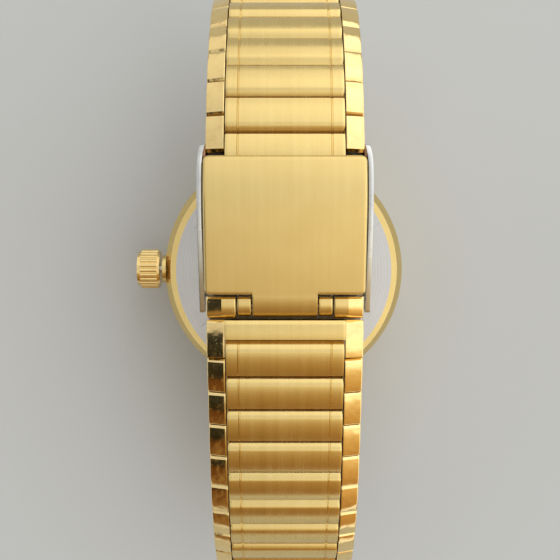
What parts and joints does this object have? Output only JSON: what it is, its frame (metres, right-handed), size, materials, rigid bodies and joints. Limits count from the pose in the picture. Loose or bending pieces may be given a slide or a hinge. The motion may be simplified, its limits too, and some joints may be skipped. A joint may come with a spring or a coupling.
{
  "type": "automatic watch",
  "caption": "Automatic wristwatch on a hinged link bracelet closed by a fold-over clasp, resting face-down on its flat crystal.",
  "frame": {"origin": "centre of the crystal's flat outer face, on which the watch stands face-down", "axes": "+Z from the dial side up to the clasp, +Y towards 12 o'clock along the bracelet's loop, the crown at 3 o'clock on -X"},
  "size_m": [0.0415, 0.0787, 0.05],
  "materials": {
    "gold_satin": "satin gold plating on steel",
    "gold_polished": "polished gold plating on steel",
    "steel": "polished stainless steel",
    "crystal": "clear flat crystal",
    "gasket": "matt",
    "dial": "satin champagne lacquer",
    "gilt": "polished gilt",
    "brass_wheel": "turned brass",
    "plated_brass": "nickel-plated brass",
    "rotor_steel": "striped steel",
    "blued": "blued steel"
  },
  "bodies": {
    "case": {"case_middle": "gold_polished", "bezel": "gold_polished", "crystal": "crystal", "crystal_gasket": "gasket", "dial": "dial", "hour_markers": "gilt", "movement_ring": "steel", "mainplate": "plated_brass", "bridges": "plated_brass", "ball_bearing": "steel", "pallet_fork": "steel", "case_back": "steel", "case_back_gasket": "gasket", "spring_bars": "steel"},
    "lower_end_piece": {"lower_end_piece": "gold_polished"},
    "lower_link_15": {"lower_link_15": "gold_satin"},
    "lower_link_14": {"lower_link_14": "gold_satin"},
    "lower_link_13": {"lower_link_13": "gold_satin"},
    "lower_link_12": {"lower_link_12": "gold_satin"},
    "lower_link_11": {"lower_link_11": "gold_satin"},
    "lower_link_10": {"lower_link_10": "gold_satin"},
    "lower_link_9": {"lower_link_9": "gold_satin"},
    "lower_link_8": {"lower_link_8": "gold_satin"},
    "lower_link_7": {"lower_link_7": "gold_satin"},
    "lower_link_6": {"lower_link_6": "gold_satin"},
    "lower_link_5": {"lower_link_5": "gold_satin"},
    "lower_link_4": {"lower_link_4": "gold_satin"},
    "lower_link_3": {"lower_link_3": "gold_satin"},
    "lower_link_2": {"lower_link_2": "gold_satin"},
    "lower_link_1": {"lower_link_1": "gold_satin"},
    "lower_link_0": {"lower_link_0": "gold_satin"},
    "upper_end_piece": {"upper_end_piece": "gold_polished"},
    "upper_link_12": {"upper_link_12": "gold_satin"},
    "upper_link_11": {"upper_link_11": "gold_satin"},
    "upper_link_10": {"upper_link_10": "gold_satin"},
    "upper_link_9": {"upper_link_9": "gold_satin"},
    "upper_link_8": {"upper_link_8": "gold_satin"},
    "upper_link_7": {"upper_link_7": "gold_satin"},
    "upper_link_6": {"upper_link_6": "gold_satin"},
    "upper_link_5": {"upper_link_5": "gold_satin"},
    "upper_link_4": {"upper_link_4": "gold_satin"},
    "upper_link_3": {"upper_link_3": "gold_satin"},
    "upper_link_2": {"upper_link_2": "gold_satin"},
    "upper_link_1": {"upper_link_1": "gold_satin"},
    "clasp_frame": {"clasp_frame": "steel", "clasp_pins": "steel"},
    "clasp_cover": {"clasp_cover": "gold_satin"},
    "clasp_blade": {"clasp_blade": "steel"},
    "seconds": {"second_hand": "gilt"},
    "minutes": {"minute_hand": "gilt"},
    "hours": {"hour_hand": "gilt"},
    "third": {"third_wheel": "brass_wheel"},
    "escape": {"escape_wheel": "steel"},
    "barrel": {"mainspring_barrel": "brass_wheel"},
    "balance": {"balance_wheel": "brass_wheel", "hairspring": "blued"},
    "rotor": {"rotor": "rotor_steel"},
    "stem": {"winding_stem": "steel"},
    "crown": {"crown": "gold_polished"}
  },
  "joints": [
    {"name": "lower_end_hinge", "type": "hinge", "parent": "case", "child": "lower_end_piece", "pos_m": [0, -0.0208, 0.0082], "axis": [1, 0, 0], "range_deg": [0, 5]},
    {"name": "lower_hinge_15", "type": "hinge", "parent": "lower_end_piece", "child": "lower_link_15", "pos_m": [0, -0.02775, 0.0099], "axis": [1, 0, 0], "range_deg": [0, 12.3]},
    {"name": "lower_hinge_14", "type": "hinge", "parent": "lower_link_15", "child": "lower_link_14", "pos_m": [0, -0.03169, 0.01149], "axis": [1, 0, 0], "range_deg": [0, 18]},
    {"name": "lower_hinge_13", "type": "hinge", "parent": "lower_link_14", "child": "lower_link_13", "pos_m": [0, -0.03513, 0.01399], "axis": [1, 0, 0], "range_deg": [0, 19.5]},
    {"name": "lower_hinge_12", "type": "hinge", "parent": "lower_link_13", "child": "lower_link_12", "pos_m": [0, -0.03778, 0.01731], "axis": [1, 0, 0], "range_deg": [0, 20.5]},
    {"name": "lower_hinge_11", "type": "hinge", "parent": "lower_link_12", "child": "lower_link_11", "pos_m": [0, -0.03937, 0.02125], "axis": [1, 0, 0], "range_deg": [0, 22]},
    {"name": "lower_hinge_10", "type": "hinge", "parent": "lower_link_11", "child": "lower_link_10", "pos_m": [0, -0.03967, 0.02549], "axis": [1, 0, 0], "range_deg": [0, 21.5]},
    {"name": "lower_hinge_9", "type": "hinge", "parent": "lower_link_10", "child": "lower_link_9", "pos_m": [0, -0.03867, 0.02963], "axis": [1, 0, 0], "range_deg": [0, 21]},
    {"name": "lower_hinge_8", "type": "hinge", "parent": "lower_link_9", "child": "lower_link_8", "pos_m": [0, -0.03652, 0.03329], "axis": [1, 0, 0], "range_deg": [0, 18.5]},
    {"name": "lower_hinge_7", "type": "hinge", "parent": "lower_link_8", "child": "lower_link_7", "pos_m": [0, -0.03351, 0.03629], "axis": [1, 0, 0], "range_deg": [0, 12]},
    {"name": "lower_hinge_6", "type": "hinge", "parent": "lower_link_7", "child": "lower_link_6", "pos_m": [0, -0.03012, 0.03885], "axis": [1, 0, 0], "range_deg": [0, 11]},
    {"name": "lower_hinge_5", "type": "hinge", "parent": "lower_link_6", "child": "lower_link_5", "pos_m": [0, -0.02644, 0.04098], "axis": [1, 0, 0], "range_deg": [0, 11]},
    {"name": "lower_hinge_4", "type": "hinge", "parent": "lower_link_5", "child": "lower_link_4", "pos_m": [0, -0.02252, 0.04264], "axis": [1, 0, 0], "range_deg": [0, 9.5]},
    {"name": "lower_hinge_3", "type": "hinge", "parent": "lower_link_4", "child": "lower_link_3", "pos_m": [0, -0.01847, 0.04392], "axis": [1, 0, 0], "range_deg": [0, 7]},
    {"name": "lower_hinge_2", "type": "hinge", "parent": "lower_link_3", "child": "lower_link_2", "pos_m": [0, -0.01436, 0.04498], "axis": [1, 0, 0], "range_deg": [0, 5]},
    {"name": "lower_hinge_1", "type": "hinge", "parent": "lower_link_2", "child": "lower_link_1", "pos_m": [0, -0.01022, 0.04597], "axis": [1, 0, 0], "range_deg": [0, 4]},
    {"name": "lower_hinge_0", "type": "hinge", "parent": "lower_link_1", "child": "lower_link_0", "pos_m": [0, -0.0061, 0.047], "axis": [1, 0, 0], "range_deg": [0, 18]},
    {"name": "upper_end_hinge", "type": "hinge", "parent": "case", "child": "upper_end_piece", "pos_m": [0, 0.0208, 0.0082], "axis": [-1, 0, 0], "range_deg": [0, 5]},
    {"name": "upper_hinge_12", "type": "hinge", "parent": "upper_end_piece", "child": "upper_link_12", "pos_m": [0, 0.02726, 0.01145], "axis": [-1, 0, 0], "range_deg": [0, 11.8]},
    {"name": "upper_hinge_11", "type": "hinge", "parent": "upper_link_12", "child": "upper_link_11", "pos_m": [0, 0.03076, 0.01386], "axis": [-1, 0, 0], "range_deg": [0, 17]},
    {"name": "upper_hinge_10", "type": "hinge", "parent": "upper_link_11", "child": "upper_link_10", "pos_m": [0, 0.03364, 0.01699], "axis": [-1, 0, 0], "range_deg": [0, 18]},
    {"name": "upper_hinge_9", "type": "hinge", "parent": "upper_link_10", "child": "upper_link_9", "pos_m": [0, 0.03566, 0.02072], "axis": [-1, 0, 0], "range_deg": [0, 19]},
    {"name": "upper_hinge_8", "type": "hinge", "parent": "upper_link_9", "child": "upper_link_8", "pos_m": [0, 0.03666, 0.02486], "axis": [-1, 0, 0], "range_deg": [0, 18.5]},
    {"name": "upper_hinge_7", "type": "hinge", "parent": "upper_link_8", "child": "upper_link_7", "pos_m": [0, 0.03658, 0.02911], "axis": [-1, 0, 0], "range_deg": [0, 19]},
    {"name": "upper_hinge_6", "type": "hinge", "parent": "upper_link_7", "child": "upper_link_6", "pos_m": [0, 0.03541, 0.03319], "axis": [-1, 0, 0], "range_deg": [0, 18]},
    {"name": "upper_hinge_5", "type": "hinge", "parent": "upper_link_6", "child": "upper_link_5", "pos_m": [0, 0.03329, 0.03687], "axis": [-1, 0, 0], "range_deg": [0, 17]},
    {"name": "upper_hinge_4", "type": "hinge", "parent": "upper_link_5", "child": "upper_link_4", "pos_m": [0, 0.03039, 0.03998], "axis": [-1, 0, 0], "range_deg": [0, 13.5]},
    {"name": "upper_hinge_3", "type": "hinge", "parent": "upper_link_4", "child": "upper_link_3", "pos_m": [0, 0.02702, 0.04257], "axis": [-1, 0, 0], "range_deg": [0, 12.5]},
    {"name": "upper_hinge_2", "type": "hinge", "parent": "upper_link_3", "child": "upper_link_2", "pos_m": [0, 0.0233, 0.04463], "axis": [-1, 0, 0], "range_deg": [0, 12.5]},
    {"name": "upper_hinge_1", "type": "hinge", "parent": "upper_link_2", "child": "upper_link_1", "pos_m": [0, 0.01932, 0.04612], "axis": [-1, 0, 0], "range_deg": [0, 12.5]},
    {"name": "clasp_swivel", "type": "hinge", "parent": "upper_link_1", "child": "clasp_frame", "pos_m": [0, 0.01516, 0.047], "axis": [-1, 0, 0], "range_deg": [0, 16]},
    {"name": "cover_hinge", "type": "hinge", "parent": "clasp_frame", "child": "clasp_cover", "pos_m": [0, -0.00115, 0.047], "axis": [1, 0, 0], "range_deg": [0, 80]},
    {"name": "blade_hinge", "type": "hinge", "parent": "clasp_frame", "child": "clasp_blade", "pos_m": [0, 0.0164, 0.0444], "axis": [1, 0, 0], "range_deg": [0, 120]},
    {"name": "seconds_turn", "type": "hinge", "parent": "case", "child": "seconds", "pos_m": [0, 0, 0.006], "axis": [0, 0, 1], "continuous": true},
    {"name": "minutes_turn", "type": "hinge", "parent": "case", "child": "minutes", "pos_m": [0, 0, 0.006], "axis": [0, 0, 1], "continuous": true},
    {"name": "hours_turn", "type": "hinge", "parent": "case", "child": "hours", "pos_m": [0, 0, 0.006], "axis": [0, 0, 1], "continuous": true},
    {"name": "third_turn", "type": "hinge", "parent": "case", "child": "third", "pos_m": [-0.00489, -0.00228, 0.006], "axis": [0, 0, 1], "continuous": true},
    {"name": "escape_turn", "type": "hinge", "parent": "case", "child": "escape", "pos_m": [0.0039, -0.00351, 0.006], "axis": [0, 0, 1], "continuous": true},
    {"name": "barrel_turn", "type": "hinge", "parent": "case", "child": "barrel", "pos_m": [0, 0.00637, 0.006], "axis": [0, 0, 1], "continuous": true},
    {"name": "balance_swing", "type": "hinge", "parent": "case", "child": "balance", "pos_m": [0.00416, -0.00854, 0.0084], "axis": [0, 0, 1], "range_deg": [-270, 270], "stiffness_Nm_per_rad": 0.000002},
    {"name": "rotor_turn", "type": "hinge", "parent": "case", "child": "rotor", "pos_m": [0, 0, 0.006], "axis": [0, 0, 1], "continuous": true},
    {"name": "stem_pull", "type": "slide", "parent": "case", "child": "stem", "axis": [-1, 0, 0], "range_m": [0, 0.001]},
    {"name": "crown_turn", "type": "hinge", "parent": "stem", "child": "crown", "pos_m": [-0.02, 0, 0.0074], "axis": [-1, 0, 0], "continuous": true}
  ],
  "couplings": [
    {"joint": "minutes_turn", "follows": "seconds_turn", "ratio": 0.016667},
    {"joint": "hours_turn", "follows": "seconds_turn", "ratio": 0.0013889},
    {"joint": "third_turn", "follows": "seconds_turn", "ratio": -0.13333},
    {"joint": "escape_turn", "follows": "seconds_turn", "ratio": -10},
    {"joint": "barrel_turn", "follows": "seconds_turn", "ratio": -0.0022222}
  ]
}
